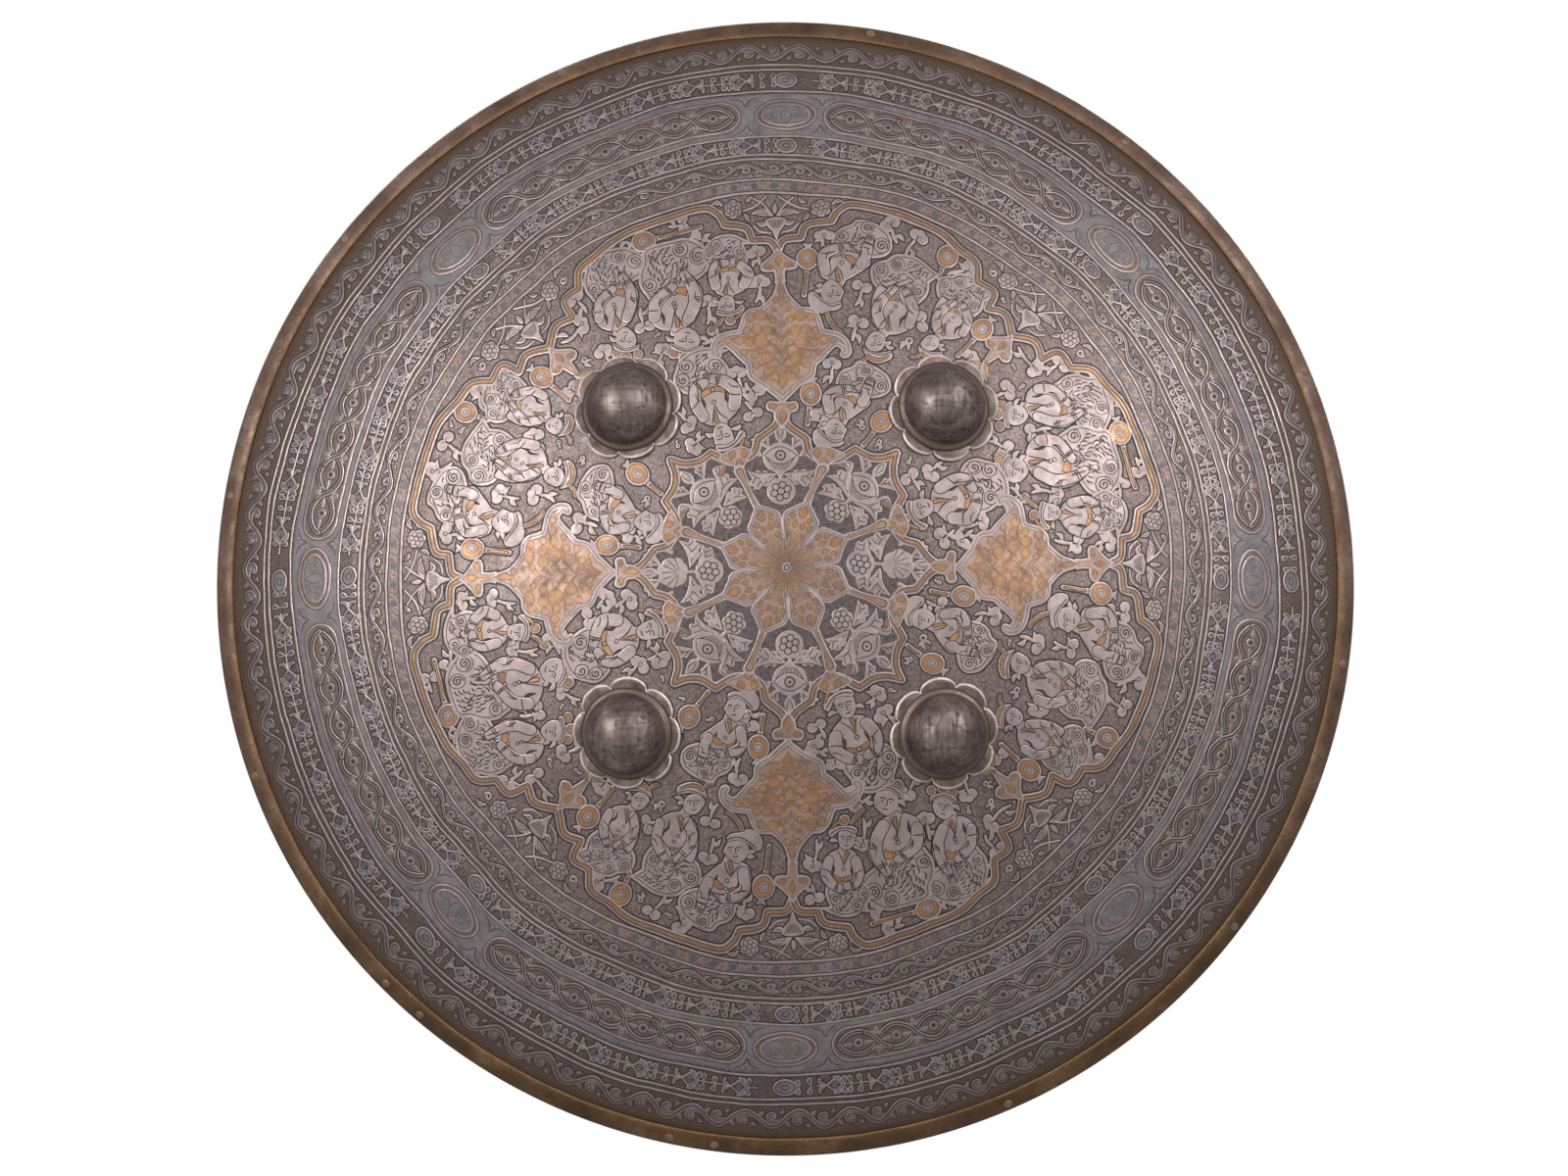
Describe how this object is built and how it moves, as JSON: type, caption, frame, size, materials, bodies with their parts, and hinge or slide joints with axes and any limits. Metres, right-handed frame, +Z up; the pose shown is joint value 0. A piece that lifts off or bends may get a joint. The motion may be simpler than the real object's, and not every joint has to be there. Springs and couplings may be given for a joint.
{
  "type": "dhal shield",
  "caption": "Shallow round steel shield with a brass-bound rim, domed bosses on petal plates, and padded leather grips that swing on rings behind.",
  "frame": {"origin": "centre of the rim's back plane", "axes": "+Y out of the hollow back, square to the rim's back plane; +Z up as it is shown; the front faces -Y"},
  "size_m": [0.48, 0.0915, 0.48],
  "materials": {
    "etched_steel": "etched",
    "boss_steel": "polished",
    "petal_steel": "satin",
    "iron": "satin",
    "rim_brass": "aged",
    "gilding": "matt",
    "leather": "matt",
    "velvet": "pile",
    "thread": "matt"
  },
  "bodies": {
    "shield": {"dish": "etched_steel", "rim_binding": "rim_brass", "rim_rivet_01": "rim_brass", "rim_rivet_02": "rim_brass", "rim_rivet_03": "rim_brass", "rim_rivet_04": "rim_brass", "rim_rivet_05": "rim_brass", "rim_rivet_06": "rim_brass", "rim_rivet_07": "rim_brass", "rim_rivet_08": "rim_brass", "rim_rivet_09": "rim_brass", "rim_rivet_10": "rim_brass", "rim_rivet_11": "rim_brass", "rim_rivet_12": "rim_brass", "rim_rivet_13": "rim_brass", "rim_rivet_14": "rim_brass", "top_left_boss_dome": "boss_steel", "top_left_petal_plate": "petal_steel", "top_left_washer": "iron", "top_left_staple": "iron", "top_right_boss_dome": "boss_steel", "top_right_petal_plate": "petal_steel", "top_right_washer": "iron", "top_right_staple": "iron", "bottom_left_boss_dome": "boss_steel", "bottom_left_petal_plate": "petal_steel", "bottom_left_washer": "iron", "bottom_left_staple": "iron", "bottom_right_boss_dome": "boss_steel", "bottom_right_petal_plate": "petal_steel", "bottom_right_washer": "iron", "bottom_right_staple": "iron", "pad_base": "leather", "knuckle_pad": "velvet"},
    "left_grip_set": {"left_grip": "leather", "left_upper_ring": "iron", "left_upper_loop": "leather", "left_upper_collar": "thread", "left_lower_ring": "iron", "left_lower_loop": "leather", "left_lower_collar": "thread"},
    "right_grip_set": {"right_grip": "leather", "right_upper_ring": "iron", "right_upper_loop": "leather", "right_upper_collar": "thread", "right_lower_ring": "iron", "right_lower_loop": "leather", "right_lower_collar": "thread"}
  },
  "joints": [
    {"name": "left_grip_swing", "type": "hinge", "parent": "shield", "child": "left_grip_set", "pos_m": [-0.06227, -0.06206, 0], "axis": [0, 0, 1], "range_deg": [-16, 108]},
    {"name": "right_grip_swing", "type": "hinge", "parent": "shield", "child": "right_grip_set", "pos_m": [0.06227, -0.06206, 0], "axis": [0, 0, -1], "range_deg": [-16, 108]}
  ]
}
